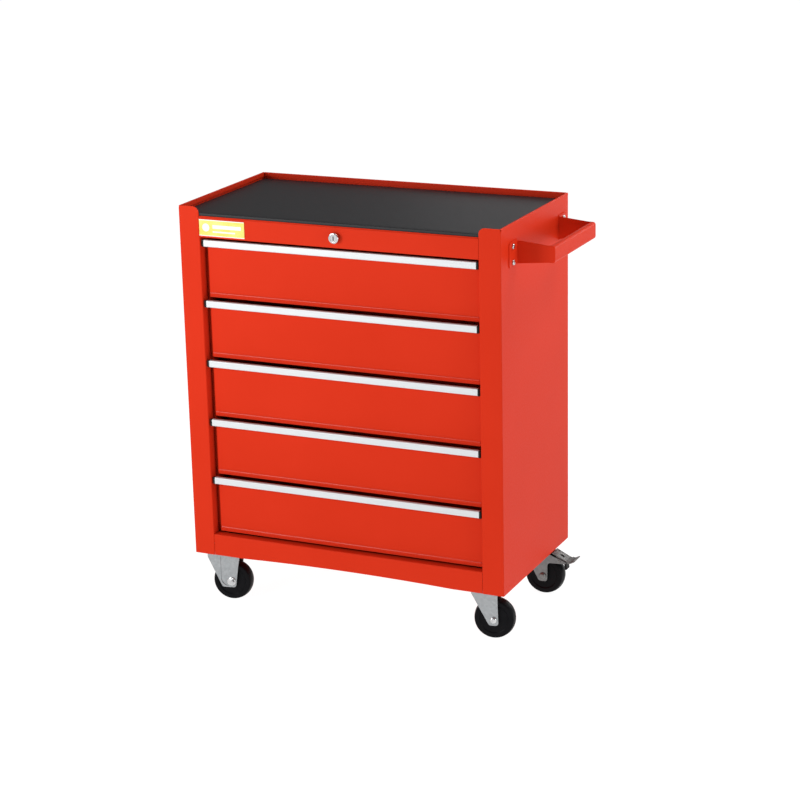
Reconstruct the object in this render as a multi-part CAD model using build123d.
from build123d import *
from math import atan2, degrees
import os

# Rolling tool cabinet: a folded sheet-metal body on four swivel casters, with five drawers on
# telescopic slides, a key lock, a mat on top and a handle on the right side.
#
# Shapes are built in cabinet coordinates: x from the left side's outer face, y from the front face
# (positive towards the back), z from the floor. save() moves them so that the origin is at the
# bottom centre of the whole object.

# ---------------------------------------------------------------- driving dimensions (mm)
BODY_W = 616.0                # width over the side panels
BODY_D = 323.0                # depth, front face to back panel
BODY_Z = 98.5                 # underside of the body above the floor
BODY_H = 655.5                # height of the body, up to the top of the lips
SHEET = 1.2                   # cabinet sheet thickness
BEND = 1.4                    # centre-line radius of a fold
TOP_Z = BODY_Z + BODY_H       # top of the lips

STILE_W = 40.5                # width of each front stile
STILE_RETURN = 19.0           # depth to which a stile folds back
STILE_ROUND = 12.0            # rounded inner corner at the top of a stile
INSET = 0.8                   # fascia and bottom rail behind the stiles' faces
REAR_FLANGE = 16.0            # inward fold at the back edge of a side panel
HEM_H = 8.0                   # height of the folded-over edge of the lips
HEM_T = 3.6                   # thickness of a lip where it is folded over
HEM_BEND = 0.9

TRAY_Z = BODY_Z + 637.5       # underside of the top tray
MAT_T = 6.0                   # thickness of the top mat
FASCIA_BOTTOM = BODY_Z + 600.0
RAIL_TOP = BODY_Z + 40.5      # top of the bottom rail
RAIL_ARCH_W = 416.0           # shallow arch along the rail's lower edge
RAIL_ARCH_H = 4.0
PAN_Z = BODY_Z + 5.0          # underside of the base pan, where the casters bolt on
PAN_FLANGE = 15.0             # upward fold round the base pan

DRAWER_COUNT = 5
DRAWER_PITCH = 111.15         # height from one drawer to the next
DRAWER_TOP = BODY_Z + 595.4   # top of the uppermost pull
DRAWER_PANEL_H = 106.0        # pull top to the lower edge of the front
DRAWER_SHEET = 1.0
FRONT_X = (47.4, 572.6)       # ends of a drawer front
LEDGE_X = (47.4, 568.6)       # ends of the lip behind a pull
FRONT_Y = 13.6                # face of a drawer front behind the cabinet's front face
FRONT_BEND = 2.5              # centre-line radius where the front folds back at its ends
FRONT_EDGE = 2.2              # height of the proud lower edge
FRONT_BEAD = (5.6, 1.1)       # bead along the front: height above the lower edge, radius
TRAY_X = (55.7, 560.3)        # outer faces of a drawer tray
TRAY_Y = (14.8, 300.0)
PULL_X = (45.1, 570.9)
PULL_Y = 2.5                  # face of a pull behind the cabinet's front face
PULL_H = 12.5
PULL_T = 1.3

SLIDE_X = 43.0                # inner face of the posts, where the slides begin
SLIDE_Y = (26.0, 296.0)
SLIDE_T = 1.2
SLIDE_RISE = 30.0             # slide centre above a tray's floor
POST_Y = ((24.6, 44.0), (250.6, 279.4))
POST_TOP = TRAY_Z - 16.0

LOCK_X = 308.0
LOCK_Z = BODY_Z + 619.0
LOCK_HEAD_R = 9.5
LOCK_HEAD_OUT = 7.2           # how far the lock stands out of the fascia
LOCK_BODY_R = 8.0
PLUG_R = 6.0
PLUG_GAP = 0.08               # running clearance on a radius
LOCK_ROD_R = 2.5
CRANK = 5.0                   # crank pin offset, sideways and down
LOCK_BAR_TRAVEL = 10.0        # how far the crank pushes the bar sideways
LOCK_BAR_X = (LOCK_X - 18.0, LOCK_X + 8.0)
LOCK_BAR_Y = (309.0, 311.0)
LOCK_BAR_Z = (132.0, 722.0)
GUIDE_Z = (140.0, 376.0, 600.0)

HANDLE_REACH = 70.0
HANDLE_Y = (71.0, 273.5)      # outer faces of the two legs
HANDLE_Z = BODY_Z + 602.0     # centre height
HANDLE_ROOT_H = 41.0          # height of a leg where it meets the body
HANDLE_GRIP_H = 30.0
HANDLE_T = 1.5
HANDLE_ROUND = 5.0            # outer radius where the grip's edges turn inwards
HANDLE_CORNER = 1.3           # outer radius where a leg meets the grip
HANDLE_LIP = 8.0              # width of the turned edges
HANDLE_FOOT = 36.0            # length of each foot along the side
SCREW_R = 2.5
SCREW_SPREAD = 14.0           # screws above and below the centre height

# Swivel axes of the casters, and how far each is turned from trailing towards +x (degrees).
CASTER_AT = {
    "front_left": (41.5, 41.5),
    "front_right": (567.0, 45.5),
    "rear_left": (42.0, 283.0),
    "rear_right": (573.0, 283.0),
}
CASTER_TURN = {"front_left": 10.0, "front_right": 10.0, "rear_left": 0.0, "rear_right": 0.0}
TRAIL = 13.0                  # wheel centre behind the swivel axis
WHEEL_R = 37.5
WHEEL_W = 24.0
AXLE_R = 4.0
AXLE_GAP = 0.06
EAR_Y = (14.0, 16.2)          # inner and outer face of a fork's ear
CROWN_Z = (91.5, 94.0)
CROWN_R = 26.0
KINGPIN_R = 5.0
PLATE_T = 2.5
PLATE_SIZE = (64.0, 70.0)
BOLT_SPREAD = (24.0, 25.5)    # bolts either side of the swivel axis
BOLT_R = 3.0
CHANNEL_T = 1.5
CHANNEL_HALF_W = 36.0
CHANNEL_X = (41.8, 570.0)
# Outlines of a fork's ears: x from the swivel axis, z from the floor.
EAR_CORNERS = {
    "plain": [(-27.0, 94.0), (20.0, 94.0), (22.0, 27.0), (5.0, 27.0), (-27.0, 86.0)],
    "wide": [(-31.5, 94.0), (31.0, 94.0), (21.5, 26.5), (-4.5, 26.5), (-31.5, 84.0)],
    "braked": [(-27.0, 94.0), (16.0, 94.0), (22.0, 82.0), (54.0, 71.0), (59.0, 68.2), (57.0, 66.0),
               (22.3, 64.0), (21.5, 27.0), (5.0, 27.0), (-27.0, 86.0)],
}
EAR_FOOT_ROUND = 5.5
EAR_RECESS = (7.5, 43.0, 14.3, 1.2)  # pressed recess: x, z and radius of its round end, depth
FLANGE_R = 8.6                # flange of the front left caster's axle nut
PEDAL_PIVOT = (45.0, 69.3)    # x from the swivel axis, z from the floor
PEDAL_PIN_R = 2.0
# Centre line of the pedal from its upper end to its tip, x and z.
PEDAL_LINE = [(30.5, 83.6), (57.0, 70.6), (65.5, 68.4), (75.0, 73.0)]
PEDAL_T = 1.8
PEDAL_HALF_W = 13.4
PEDAL_TIP_HALF_W = 17.0
BRAKE_HALF_W = 7.0

# Origin of the finished part in cabinet coordinates: the bottom centre of the bounding box.
RIVET_HEAD = 1.2
ORIGIN_X = (BODY_W + HANDLE_REACH) / 2
ORIGIN_Y = (BODY_D + RIVET_HEAD - LOCK_HEAD_OUT) / 2


# ---------------------------------------------------------------- helpers
def block(x, y, z):
    """Box between two corners, each axis given as (low, high)."""
    size = (x[1] - x[0], y[1] - y[0], z[1] - z[0])
    return Pos(x[0], y[0], z[0]) * Box(*size, align=(Align.MIN, Align.MIN, Align.MIN))


def round_x(radius, y, z, x):
    """Cylinder along x between the two values of x."""
    turned = Rot(0, 90, 0) * Cylinder(radius, x[1] - x[0], align=(Align.CENTER, Align.CENTER, Align.MIN))
    return Pos(x[0], y, z) * turned


def round_y(radius, x, z, y):
    """Cylinder along y between the two values of y."""
    turned = Rot(-90, 0, 0) * Cylinder(radius, y[1] - y[0], align=(Align.CENTER, Align.CENTER, Align.MIN))
    return Pos(x, y[0], z) * turned


def round_z(radius, x, y, z):
    """Upright cylinder between the two values of z."""
    return Pos(x, y, z[0]) * Cylinder(radius, z[1] - z[0], align=(Align.CENTER, Align.CENTER, Align.MIN))


def hexagon_y(radius, x, z, y):
    """Hexagonal prism along y."""
    face = Plane.XZ * RegularPolygon(radius, 6)
    return Pos(x, y[0], z) * extrude(face, amount=y[1] - y[0], dir=(0, 1, 0))


def hexagon_z(radius, x, y, z):
    """Upright hexagonal prism."""
    return Pos(x, y, z[0]) * extrude(RegularPolygon(radius, 6), amount=z[1] - z[0])


def folded(points, thickness=SHEET, bend=BEND):
    """Cross-section of a folded sheet whose centre line runs through the points."""
    return trace(FilletPolyline(*points, radius=bend), thickness)


def along_x(section, x):
    """Extrude a section drawn in y and z along x."""
    return Pos(x[0], 0, 0) * extrude(Plane.YZ * section, amount=x[1] - x[0], dir=(1, 0, 0))


def along_y(section, y):
    """Extrude a section drawn in x and z along y."""
    return Pos(0, y[0], 0) * extrude(Plane.XZ * section, amount=y[1] - y[0], dir=(0, 1, 0))


def along_z(section, z):
    """Extrude a section drawn in x and y upwards."""
    return Pos(0, 0, z[0]) * extrude(section, amount=z[1] - z[0])


def other_side(shape):
    """Mirror image on the other side of the cabinet's middle."""
    return mirror(shape, about=Plane.YZ.offset(BODY_W / 2))


def save(name, *shapes):
    """Move the shapes to the part's origin and write them as one node."""
    solids = []
    for shape in shapes:
        solids += (Pos(-ORIGIN_X, -ORIGIN_Y, 0) * shape).solids()
    whole = solids[0] if len(solids) == 1 else Compound(children=solids)
    export_step(whole, f"parts/{name}.step")


# ---------------------------------------------------------------- body panels
def lip_hem(outer, inward):
    """Section of a lip's top edge, folded over and down; outer is the lip's outer face."""
    half = SHEET / 2
    near = outer + inward * half
    far = outer + inward * (HEM_T - half)
    top = TOP_Z - half
    return folded([(near, TOP_Z - 5.0), (near, top), (far, top), (far, TOP_Z - HEM_H)], SHEET, HEM_BEND)


def rivet_places():
    """Pop rivets down both edges of the back panel, as (x, z)."""
    heights = [BODY_Z + 50.0 + 139.0 * i for i in range(5)]
    return [(x, z) for x in (9.0, BODY_W - 9.0) for z in heights]


def screw_places():
    """Handle screws, as (y, z): two through each foot."""
    half = HANDLE_FOOT / 2 + 2.0
    ends = (HANDLE_Y[0] - half, HANDLE_Y[1] + half)
    return [(y, HANDLE_Z + dz) for y in ends for dz in (-SCREW_SPREAD, SCREW_SPREAD)]


def side_panel():
    """Left side: stile, side and rear flange folded from one sheet, with a hemmed top lip."""
    half = SHEET / 2
    rear = BODY_D - 2.0
    outline = [
        (STILE_W - half, STILE_RETURN),
        (STILE_W - half, half),
        (half, half),
        (half, rear),
        (REAR_FLANGE, rear),
    ]
    panel = along_z(folded(outline), (BODY_Z, TOP_Z))
    above = (TRAY_Z - 0.2, TOP_Z + 1)
    fold = SHEET + 1.8
    panel -= block((fold, STILE_W + 1), (SHEET, BODY_D), above)
    panel -= block((fold, STILE_W + 1), (BODY_D - 4, BODY_D), above)
    panel -= block((STILE_W - fold, STILE_W + 1), (SHEET, STILE_RETURN + 1), (BODY_Z - 1, BODY_Z + 24))
    corner_x = STILE_W - STILE_ROUND
    corner_z = TOP_Z - STILE_ROUND
    corner = block((corner_x, STILE_W + 1), (-1, SHEET + 1), (corner_z, TOP_Z + 1))
    panel -= corner - round_y(STILE_ROUND, corner_x, corner_z, (-2, SHEET + 2))
    panel -= block((-1, SHEET), (-1, SHEET), (TOP_Z - 5, TOP_Z + 1))
    lip_y = (2.6, BODY_D - 1.6)
    panel -= block((-1, fold), (SHEET, BODY_D), (TOP_Z - 4, TOP_Z + 1))
    panel += along_y(lip_hem(0, 1), lip_y)
    panel += block((SHEET - 0.2, 9.0), (20.0, BODY_D - 5), (PAN_Z - SHEET, PAN_Z))
    for x, z in rivet_places()[:5]:
        panel -= round_y(1.65, x, z, (BODY_D - 4, BODY_D + 1))
    return panel


def right_panel():
    """Right side: the left one mirrored, drilled for the handle's screws."""
    panel = other_side(side_panel())
    for y, z in screw_places():
        panel -= round_x(SCREW_R + 0.1, y, z, (BODY_W - 5, BODY_W + 1))
    return panel


def back_panel():
    """Back: a flat sheet with a hemmed top lip and a fold along its lower edge."""
    panel = block((0.8, BODY_W - 0.8), (BODY_D - SHEET, BODY_D), (BODY_Z, TOP_Z - 4))
    panel += along_x(lip_hem(BODY_D, -1), (4.0, BODY_W - 4.0))
    panel += block((18, BODY_W - 18), (BODY_D - 7, BODY_D - 0.2), (BODY_Z, BODY_Z + SHEET))
    for x, z in rivet_places():
        panel -= round_y(1.65, x, z, (BODY_D - 4, BODY_D + 1))
    return panel


def panel_rivets():
    rivets = []
    for x, z in rivet_places():
        shank = round_y(1.6, x, z, (BODY_D - 3.4, BODY_D + 0.1))
        head = round_y(3.2, x, z, (BODY_D, BODY_D + RIVET_HEAD))
        head = fillet(head.edges().sort_by(Axis.Y)[-1], 0.9)
        rivets.append(shank + head)
    return rivets


def top_tray():
    """Shallow tray that carries the mat, with its sides folded down."""
    x = (1.4, BODY_W - 1.4)
    y = (1.6, BODY_D - 2.8)
    tray = block(x, y, (TRAY_Z, TRAY_Z + SHEET))
    tray = fillet(tray.edges().filter_by(Axis.Z), 1.6)
    side_y = (22.0, BODY_D - 20)
    down = (POST_TOP + 1, TRAY_Z + 0.2)
    tray += block((x[0], x[0] + SHEET), side_y, down)
    tray += block((x[1] - SHEET, x[1]), side_y, down)
    return tray


def top_mat():
    mat = block((4.0, BODY_W - 4.0), (2.2, BODY_D - 4.0), (TRAY_Z + SHEET, TRAY_Z + SHEET + MAT_T))
    return fillet(mat.edges().filter_by(Axis.Z), 2.0)


def front_fascia():
    """Channel across the top of the front, with the lock's hole."""
    half = SHEET / 2
    face = INSET + half
    top = TRAY_Z - half
    bottom = FASCIA_BOTTOM + half
    section = folded([(20.0, top), (face, top), (face, bottom), (16.0, bottom)])
    fascia = along_x(section, (STILE_W + 0.2, BODY_W - STILE_W - 0.2))
    return fascia - round_y(LOCK_BODY_R + 0.1, LOCK_X, LOCK_Z, (-1, 5))


def bottom_rail():
    """Angle across the bottom of the front, with a shallow arch along its lower edge."""
    half = SHEET / 2
    face = INSET + half
    section = folded([(18.0, RAIL_TOP - half), (face, RAIL_TOP - half), (face, BODY_Z)])
    rail = along_x(section, (STILE_W + 0.2, BODY_W - STILE_W - 0.2))
    left = (BODY_W - RAIL_ARCH_W) / 2
    start = (left, BODY_Z)
    end = (left + RAIL_ARCH_W, BODY_Z)
    arch = ThreePointArc(start, (BODY_W / 2, BODY_Z + RAIL_ARCH_H), end)
    below = Polyline(end, (end[0], BODY_Z - 5), (left, BODY_Z - 5), start)
    return rail - along_y(make_face(arch + below), (-1, 3))


def bolt_places():
    """The casters' bolts, as (x, y): four round each swivel axis."""
    places = []
    for x, y in CASTER_AT.values():
        for side in (-1, 1):
            for end in (-1, 1):
                places.append((x + side * BOLT_SPREAD[0], y + end * BOLT_SPREAD[1]))
    return places


def drilled(shape):
    """Cut the casters' bolt holes through a base piece."""
    for x, y in bolt_places():
        shape -= round_z(BOLT_R + 0.2, x, y, (PAN_Z - 5, PAN_Z + 30))
    return shape


def base_pan():
    x = (1.4, BODY_W - 1.4)
    y = (INSET + SHEET + 0.3, BODY_D - 3.0)
    outside = block(x, y, (PAN_Z, PAN_Z + PAN_FLANGE))
    outside = fillet(outside.edges().filter_by(Axis.Z), 1.6)
    inside = block((x[0] + SHEET, x[1] - SHEET), (y[0] + SHEET, y[1] - SHEET), (PAN_Z + SHEET, PAN_Z + 40))
    return drilled(outside - inside)


def base_channel(x):
    """Upward-open channel that spreads the casters' load over the base pan."""
    low = PAN_Z + SHEET
    half = CHANNEL_HALF_W
    outside = block((x - half, x + half), (8.0, BODY_D - 12), (low, low + 14))
    inside = block((x - half + CHANNEL_T, x + half - CHANNEL_T), (0, BODY_D), (low + CHANNEL_T, low + 30))
    return drilled(outside - inside)


def slide_posts():
    """Four upright channels inside the sides, which carry the drawer slides."""
    half = SHEET / 2
    posts = []
    for y in POST_Y:
        outline = [(1.5, y[0] + half), (SLIDE_X - half, y[0] + half), (SLIDE_X - half, y[1] - half)]
        outline.append((1.5, y[1] - half))
        post = along_z(folded(outline), (PAN_Z + 17.0, POST_TOP))
        posts += [post, other_side(post)]
    return posts


# ---------------------------------------------------------------- drawers
def drawer_top(index):
    """Height of the top of a drawer's pull, counted from the uppermost drawer."""
    return DRAWER_TOP - DRAWER_PITCH * index


def tray_floor(index):
    """Underside of a drawer's tray."""
    return drawer_top(index) - DRAWER_PANEL_H + 2.0


def drawer_front(index):
    """Front sheet: lip, ledge and face, folded back at both ends, with a bead and a proud lower edge."""
    top = drawer_top(index)
    low = top - DRAWER_PANEL_H
    half = DRAWER_SHEET / 2
    ledge = top - PULL_T - 0.1 - half
    face = FRONT_Y + half
    ends = (FRONT_X[0] + half, FRONT_X[1] - half)
    corners = [(ends[0], 22.0), (ends[0], face), (ends[1], face), (ends[1], 22.0)]
    plan = folded(corners, DRAWER_SHEET, FRONT_BEND)
    front = along_z(plan, (low, ledge))
    turned = folded([(5.0, top - 9.5), (5.0, ledge), (face + half, ledge)], DRAWER_SHEET, 1.2)
    front += along_x(turned, LEDGE_X)
    straight = (FRONT_X[0] + 3.0, FRONT_X[1] - 3.0)
    front += block(straight, (FRONT_Y - 0.7, FRONT_Y + 0.2), (low, low + FRONT_EDGE))
    return front + round_x(FRONT_BEAD[1], FRONT_Y, low + FRONT_BEAD[0], straight)


def drawer_tray(index):
    """Open steel box with a folded rim."""
    low = tray_floor(index)
    high = drawer_top(index) - 12.0
    t = DRAWER_SHEET
    rim = 2 * t
    tray = block(TRAY_X, TRAY_Y, (low, high))
    inside_x = (TRAY_X[0] + rim, TRAY_X[1] - rim)
    inside_y = (TRAY_Y[0] + rim, TRAY_Y[1] - rim)
    tray -= block(inside_x, inside_y, (low + t, high + 1))
    tray -= block((TRAY_X[0] + t, TRAY_X[1] - t), (TRAY_Y[0] + t, TRAY_Y[1] - t), (low + t, high - 7.0))
    return tray


def drawer_pull(index):
    """Aluminium strip: a flat face with a leg over the ledge and a turned-in finger edge."""
    top = drawer_top(index)
    half = PULL_T / 2
    face = PULL_Y + half
    low = top - PULL_H + half
    section = folded([(8.5, top - half), (face, top - half), (face, low), (6.0, low)], PULL_T, 1.0)
    return along_x(section, PULL_X)


def slide_member(x, half_height, legs, index):
    """One channel of a slide: its web at x and its legs from there to the value of legs."""
    z = tray_floor(index) + SLIDE_RISE
    web = (min(x, x + SLIDE_T), max(x, x + SLIDE_T))
    reach = (min(web[0], legs), max(web[1], legs))
    member = block(web, SLIDE_Y, (z - half_height, z + half_height))
    for side in (-1, 1):
        edge = z + side * half_height
        leg = (min(edge, edge - side * SLIDE_T), max(edge, edge - side * SLIDE_T))
        member += block(reach, SLIDE_Y, leg)
    return member


def slide_rail(index):
    """Cabinet member of a left-hand slide."""
    return slide_member(SLIDE_X, 17.5, SLIDE_X + 11.0, index)


def slide_middle(index):
    """Middle member, which moves half as far as the drawer."""
    return slide_member(SLIDE_X + 4.0, 14.0, SLIDE_X + 11.2, index)


def slide_runner(index):
    """Drawer member, fixed to the tray's side."""
    return slide_member(SLIDE_X + 11.5, 10.0, SLIDE_X + 6.5, index)


# ---------------------------------------------------------------- lock
def lock_barrel():
    barrel = round_y(LOCK_BODY_R, LOCK_X, LOCK_Z, (-0.2, 20.0))
    head = round_y(LOCK_HEAD_R, LOCK_X, LOCK_Z, (-LOCK_HEAD_OUT, INSET))
    head = fillet(head.edges().sort_by(Axis.Y)[0], 1.6)
    return barrel + head - round_y(PLUG_R + PLUG_GAP, LOCK_X, LOCK_Z, (-20, 30))


def lock_nut():
    seat = INSET + SHEET
    nut = hexagon_y(12.5, LOCK_X, LOCK_Z, (seat, seat + 3.5))
    return nut - round_y(LOCK_BODY_R + 0.05, LOCK_X, LOCK_Z, (0, 10))


def lock_plug():
    """Turning plug with an upright key slot."""
    front = -LOCK_HEAD_OUT + 0.6
    plug = round_y(PLUG_R, LOCK_X, LOCK_Z, (front, 24.0))
    slot = block((LOCK_X - 0.9, LOCK_X + 0.9), (front - 1, front + 12), (LOCK_Z - 3.8, LOCK_Z + 3.8))
    return plug - slot


def lock_rod():
    """Rod from the plug to the back, with the crank that pushes the lock bar sideways."""
    rod = round_y(LOCK_ROD_R, LOCK_X, LOCK_Z, (24.0, 304.0))
    crank = round_y(6.0, LOCK_X, LOCK_Z, (303.0, 306.0))
    crank += round_y(4.5, LOCK_X - CRANK, LOCK_Z - CRANK, (303.0, 306.0))
    return rod + crank + round_y(2.0, LOCK_X - CRANK, LOCK_Z - CRANK, (305.0, 313.0))


def lock_bar():
    """Upright bar with a slot for the crank pin and a tab behind each drawer."""
    bar = block(LOCK_BAR_X, LOCK_BAR_Y, LOCK_BAR_Z)
    middle = sum(LOCK_BAR_X) / 2
    for index in range(DRAWER_COUNT):
        z = drawer_top(index) - 46.0
        bar += block((middle - 1, middle + 1), (302.0, LOCK_BAR_Y[0] + 0.2), (z, z + 12.0))
    pin_x = LOCK_X - CRANK
    pin_z = LOCK_Z - CRANK
    return bar - block((pin_x - 2.6, pin_x + 2.6), (300, 315), (pin_z - 4.8, pin_z + 2.6))


def lock_guides():
    """Guides of the lock bar on the back panel, the lowest with a shelf, and the lock rod's hanger."""
    guides = []
    slot_x = (LOCK_BAR_X[0] - 0.5, LOCK_BAR_X[1] + LOCK_BAR_TRAVEL + 0.5)
    slot_y = (LOCK_BAR_Y[0] - 0.5, LOCK_BAR_Y[1] + 0.5)
    for z in GUIDE_Z:
        guide = block((LOCK_X - 23, LOCK_X + 23), (305.5, BODY_D - SHEET), (z - 12, z + 12))
        guides.append(guide - block(slot_x, slot_y, (LOCK_BAR_Z[0] - 0.1, LOCK_BAR_Z[1])))
    half = SHEET / 2
    section = folded([(284.6, LOCK_Z - 9), (284.6, TRAY_Z - half), (297.0, TRAY_Z - half)])
    hanger = along_x(section, (LOCK_X - 12, LOCK_X + 12))
    guides.append(hanger - round_y(LOCK_ROD_R + PLUG_GAP, LOCK_X, LOCK_Z, (280, 290)))
    return guides


def name_plate():
    return block((STILE_W + 0.4, 131.0), (INSET - 1.2, INSET), (BODY_Z + 603.7, BODY_Z + 633.4))


# ---------------------------------------------------------------- side handle
def handle_outline(inset):
    """Elevation of the handle, drawn in by an inset: legs that narrow to the rounded grip."""
    root = HANDLE_ROOT_H / 2 - inset
    grip = HANDLE_GRIP_H / 2 - inset
    tip = BODY_W + HANDLE_REACH - inset
    upper = [(BODY_W, HANDLE_Z + root), (tip - 14, HANDLE_Z + grip), (tip, HANDLE_Z + grip)]
    lower = [(px, 2 * HANDLE_Z - pz) for px, pz in reversed(upper)]
    outline = make_face(Polyline(*upper, *lower, close=True))
    return fillet(outline.vertices().sort_by(Axis.X)[-2:], HANDLE_ROUND - inset)


def side_handle():
    """Pressed handle: two leg plates and a channel-shaped grip with turned edges, and two feet."""
    tip = BODY_W + HANDLE_REACH
    handle = along_y(handle_outline(0), HANDLE_Y)
    corners = [edge for edge in handle.edges() if edge.center().X > tip - 15
               and (edge.center().Y < HANDLE_Y[0] + 0.01 or edge.center().Y > HANDLE_Y[1] - 0.01)]
    handle = fillet(corners, HANDLE_CORNER)
    between = (HANDLE_Y[0] + HANDLE_T, HANDLE_Y[1] - HANDLE_T)
    handle -= along_y(handle_outline(HANDLE_T), between)
    handle -= block((BODY_W - 1, tip - HANDLE_LIP), between, (HANDLE_Z - 60, HANDLE_Z + 60))
    half = HANDLE_ROOT_H / 2 + 1.5
    near = (HANDLE_Y[0] + 0.5, HANDLE_Y[0] - HANDLE_FOOT)
    far = (HANDLE_Y[1] - 0.5, HANDLE_Y[1] + HANDLE_FOOT)
    for root, end in (near, far):
        foot_y = (min(root, end), max(root, end))
        foot = block((BODY_W, BODY_W + HANDLE_T), foot_y, (HANDLE_Z - half, HANDLE_Z + half))
        corners = [edge for edge in foot.edges().filter_by(Axis.X) if abs(edge.center().Y - end) < 0.1]
        handle += fillet(corners, 6.0)
    for y, z in screw_places():
        handle -= round_x(SCREW_R + 0.1, y, z, (BODY_W - 1, BODY_W + 4))
    return handle


def handle_screws():
    screws = []
    seat = BODY_W + HANDLE_T
    for y, z in screw_places():
        head = round_x(4.6, y, z, (seat, seat + 3.0))
        head = fillet(head.edges().sort_by(Axis.X)[-1], 1.8)
        cross = block((seat + 1.6, seat + 4), (y - 2.2, y + 2.2), (z - 0.5, z + 0.5))
        cross += block((seat + 1.6, seat + 4), (y - 0.5, y + 0.5), (z - 2.2, z + 2.2))
        screws.append(head + round_x(SCREW_R, y, z, (BODY_W - 5, seat + 0.5)) - cross)
    return screws


# ---------------------------------------------------------------- casters
# Each caster is drawn with its swivel axis at x = 0, y = 0 and its wheel trailing towards +x.
def caster_plate():
    """Top plate with the upper race pressed into it and the riveted kingpin."""
    half_x, half_y = PLATE_SIZE[0] / 2, PLATE_SIZE[1] / 2
    low = PAN_Z - PLATE_T
    plate = block((-half_x, half_x), (-half_y, half_y), (low, PAN_Z))
    plate = fillet(plate.edges().filter_by(Axis.Z), 6.0)
    for side in (-1, 1):
        for end in (-1, 1):
            plate -= round_z(BOLT_R + 0.2, side * BOLT_SPREAD[0], end * BOLT_SPREAD[1], (low - 1, PAN_Z + 1))
    race = Pos(0, 0, low - 4.0) * Cone(19.0, 23.0, 4.2, align=(Align.CENTER, Align.CENTER, Align.MIN))
    pin = round_z(KINGPIN_R, 0, 0, (CROWN_Z[0] - 1, low))
    head = round_z(9.0, 0, 0, (CROWN_Z[0] - 3.3, CROWN_Z[0] - 0.3))
    return plate + race + pin + fillet(head.edges().sort_by(Axis.Z)[0], 1.5)


def ear_outline(style):
    """Side of a fork: a wide top narrowing to a rounded foot just below the axle."""
    face = make_face(Polyline(*EAR_CORNERS[style], close=True))
    face = fillet(face.vertices().sort_by(Axis.Y)[:2], EAR_FOOT_ROUND)
    if style == "braked":
        inner = [v for v in face.vertices() if abs(v.X - 22.3) < 0.1 and abs(v.Y - 64.0) < 0.1]
        face = fillet(inner, 6.0)
        end = [v for v in face.vertices() if v.X > 56.0]
        face = fillet(end, 1.0)
    return face


def fork(style):
    """Pressed fork with the lower race on its crown, the axle bolt and, on a braked one, the pedal's pin."""
    corners = EAR_CORNERS[style]
    width = (corners[0][0], corners[1][0])
    crown = round_z(CROWN_R, 0, 0, CROWN_Z) + block(width, (-EAR_Y[1], EAR_Y[1]), CROWN_Z)
    race = Pos(0, 0, CROWN_Z[1] - 0.1) * Cone(25.0, 23.5, 2.8, align=(Align.CENTER, Align.CENTER, Align.MIN))
    body = crown + race
    ear = along_y(ear_outline(style), EAR_Y)
    body += ear + mirror(ear, about=Plane.XZ)
    body -= round_z(KINGPIN_R + 0.08, 0, 0, (CROWN_Z[0] - 1, CROWN_Z[1] + 5))
    body -= round_y(AXLE_R + 0.04, TRAIL, WHEEL_R, (-20, 20))
    if style == "wide":
        body -= ear_recess()
        return [body, flanged_axle_bolt()]
    if style == "plain":
        return [body, axle_bolt()]
    body -= round_y(PEDAL_PIN_R + 0.04, *PEDAL_PIVOT, (-20, 20))
    pin = round_y(PEDAL_PIN_R, *PEDAL_PIVOT, (-EAR_Y[1] - 0.1, EAR_Y[1] + 0.1))
    for side in (-1, 1):
        ends = sorted((side * EAR_Y[1], side * (EAR_Y[1] + 1.0)))
        pin += round_y(PEDAL_PIN_R + 1.0, *PEDAL_PIVOT, ends)
    return [body, axle_bolt(), pin]


def ear_recess():
    """Shallow recess pressed into an ear's outer face, round at its lower end."""
    x, z, radius, depth = EAR_RECESS
    y = (-EAR_Y[1] - 1, -EAR_Y[1] + depth)
    dish = round_y(radius, x, z, y) + round_y(FLANGE_R + 0.6, TRAIL, WHEEL_R, y)
    channel = block((x - radius, x + radius), (y[0], y[1] - 0.4), (z, CROWN_Z[0] - 1.5))
    return dish + channel


def axle_bolt():
    """Axle bolt with a domed head at the front and a nut at the back."""
    seat = EAR_Y[1]
    bolt = round_y(AXLE_R, TRAIL, WHEEL_R, (-seat - 0.2, seat + 6.0))
    head = round_y(6.5, TRAIL, WHEEL_R, (-seat - 4.0, -seat))
    head = fillet(head.edges().sort_by(Axis.Y)[0], 3.6)
    return bolt + head + hexagon_y(6.6, TRAIL, WHEEL_R, (seat, seat + 4.8))


def flanged_axle_bolt():
    """Axle bolt with a flanged nut in the recess at the front and a domed head at the back."""
    seat = EAR_Y[1]
    front = -seat + EAR_RECESS[3]
    bolt = round_y(AXLE_R, TRAIL, WHEEL_R, (front - 6.4, seat + 0.2))
    flange = round_y(FLANGE_R, TRAIL, WHEEL_R, (front - 1.8, front))
    flange = fillet(flange.edges().sort_by(Axis.Y)[0], 1.2)
    nut = hexagon_y(5.8, TRAIL, WHEEL_R, (front - 5.4, front - 1.0))
    head = round_y(6.5, TRAIL, WHEEL_R, (seat, seat + 4.0))
    head = fillet(head.edges().sort_by(Axis.Y)[-1], 3.6)
    return bolt + flange + nut + head


def wheel():
    """Solid wheel: rounded tread, slightly dished faces and a raised hub."""
    half = WHEEL_W / 2
    bore = AXLE_R + AXLE_GAP
    points = [(bore, 13.6), (9.0, 13.6), (10.0, half - 1.6), (25.0, half - 1.6), (27.0, half), (32.5, half)]
    tread = Spline((32.5, half), (36.3, half - 4.2), (WHEEL_R, 0), tangents=((1, 0), (0, -1)))
    upper = Polyline(*points) + tread
    lower = mirror(upper, about=Plane.XZ)
    closing = Line((bore, 13.6), (bore, -13.6))
    section = make_face(upper + lower + closing)
    return Pos(TRAIL, 0, WHEEL_R) * revolve(section, axis=Axis.Y)


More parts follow.
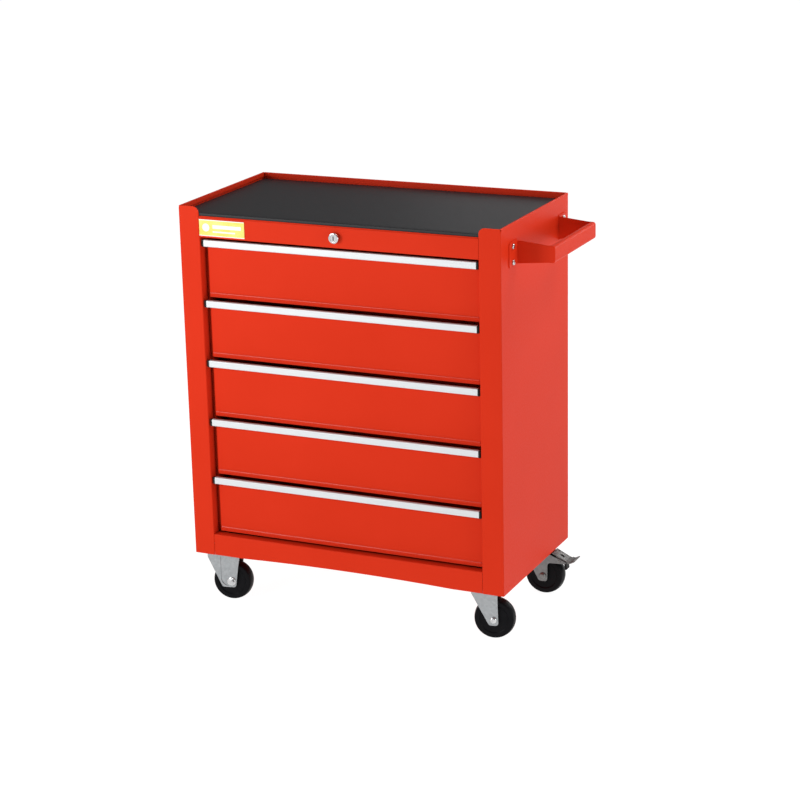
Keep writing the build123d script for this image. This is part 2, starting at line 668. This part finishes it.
def brake_block():
    """Rubber block close under the pedal's tread that swings against the wheel."""
    outline = make_face(Polyline((50.2, 72.8), (55.6, 70.15), (57.6, 52.0), (53.4, 50.8), close=True))
    outline = fillet(outline.vertices().sort_by(Axis.Y)[:2], 1.0)
    return along_y(outline, (-BRAKE_HALF_W, BRAKE_HALF_W))


def brake_pedal():
    """Pressed pedal with two cheeks on the pivot pin, a framed slot in its tread and a flared tip."""
    tread = along_y(folded(PEDAL_LINE, PEDAL_T, 4.0), (-PEDAL_HALF_W, PEDAL_HALF_W))
    tip = along_y(folded(PEDAL_LINE[1:], PEDAL_T, 4.0), (-PEDAL_TIP_HALF_W, PEDAL_TIP_HALF_W))
    tip -= block((50.0, 61.5), (-20, 20), (60, 100))
    start, end = PEDAL_LINE[0], PEDAL_LINE[1]
    slope = degrees(atan2(start[1] - end[1], end[0] - start[0]))
    middle = ((start[0] + end[0]) / 2, (start[1] + end[1]) / 2)
    framed = Pos(middle[0], 0, middle[1]) * Rot(0, slope, 0) * Pos(0, 0, 0.9) * Box(22.0, 21.6, 1.0)
    tread -= framed
    tread -= block((42.5, 50.5), (-3.2, 3.2), (60, 100))
    points = [(38.0, 80.0), (54.5, 71.9), (53.5, 66.0), (44.0, 65.6), (39.5, 70.0)]
    cheek = along_y(make_face(Polyline(*points, close=True)), (PEDAL_HALF_W - 1.6, PEDAL_HALF_W))
    body = tread + tip + cheek + mirror(cheek, about=Plane.XZ)
    return body - round_y(PEDAL_PIN_R + 0.06, *PEDAL_PIVOT, (-20, 20))


def caster_bolts():
    bolts = []
    low = PAN_Z - PLATE_T
    for x, y in bolt_places():
        head = hexagon_z(5.8, x, y, (low - 4.0, low))
        bolts.append(head + round_z(BOLT_R, x, y, (low - 0.5, PAN_Z + 11.0)))
    return bolts


def caster_nuts():
    nuts = []
    seat = PAN_Z + SHEET + CHANNEL_T
    for x, y in bolt_places():
        nut = hexagon_z(5.8, x, y, (seat, seat + 5.0))
        nuts.append(nut - round_z(BOLT_R + 0.03, x, y, (seat - 1, seat + 8)))
    return nuts


# ---------------------------------------------------------------- write the nodes
os.makedirs("parts", exist_ok=True)

save("left_side_panel", side_panel())
save("right_side_panel", right_panel())
save("back_panel", back_panel())
save("panel_rivets", *panel_rivets())
save("top_tray", top_tray())
save("top_mat", top_mat())
save("front_fascia", front_fascia())
save("bottom_rail", bottom_rail())
save("base_pan", base_pan())
save("base_channels", *[base_channel(x) for x in CHANNEL_X])
save("slide_posts", *slide_posts())
save("name_plate", name_plate())

rails = [slide_rail(index) for index in range(DRAWER_COUNT)]
save("slide_rails", *rails, *[other_side(rail) for rail in rails])

for index in range(DRAWER_COUNT):
    number = index + 1
    save(f"drawer_{number}_front", drawer_front(index))
    save(f"drawer_{number}_tray", drawer_tray(index))
    save(f"drawer_{number}_pull", drawer_pull(index))
    runner = slide_runner(index)
    save(f"drawer_{number}_runners", runner, other_side(runner))
    middle = slide_middle(index)
    save(f"slide_{number}_middles", middle, other_side(middle))

save("lock_barrel", lock_barrel())
save("lock_nut", lock_nut())
save("lock_plug", lock_plug())
save("lock_rod", lock_rod())
save("lock_bar", lock_bar())
save("lock_guides", *lock_guides())

save("side_handle", side_handle())
save("handle_screws", *handle_screws())

plates = []
for corner, (x, y) in CASTER_AT.items():
    plates.append(Pos(x, y, 0) * caster_plate())
    place = Pos(x, y, 0) * Rot(0, 0, CASTER_TURN[corner])
    braked = corner.startswith("rear")
    style = "braked" if braked else "plain"
    if corner == "front_left":
        style = "wide"
    save(f"{corner}_fork", *[place * piece for piece in fork(style)])
    save(f"{corner}_wheel", place * wheel())
    if braked:
        save(f"{corner}_pedal", place * brake_pedal(), place * brake_block())
save("caster_plates", *plates)
save("caster_bolts", *caster_bolts())
save("caster_nuts", *caster_nuts())
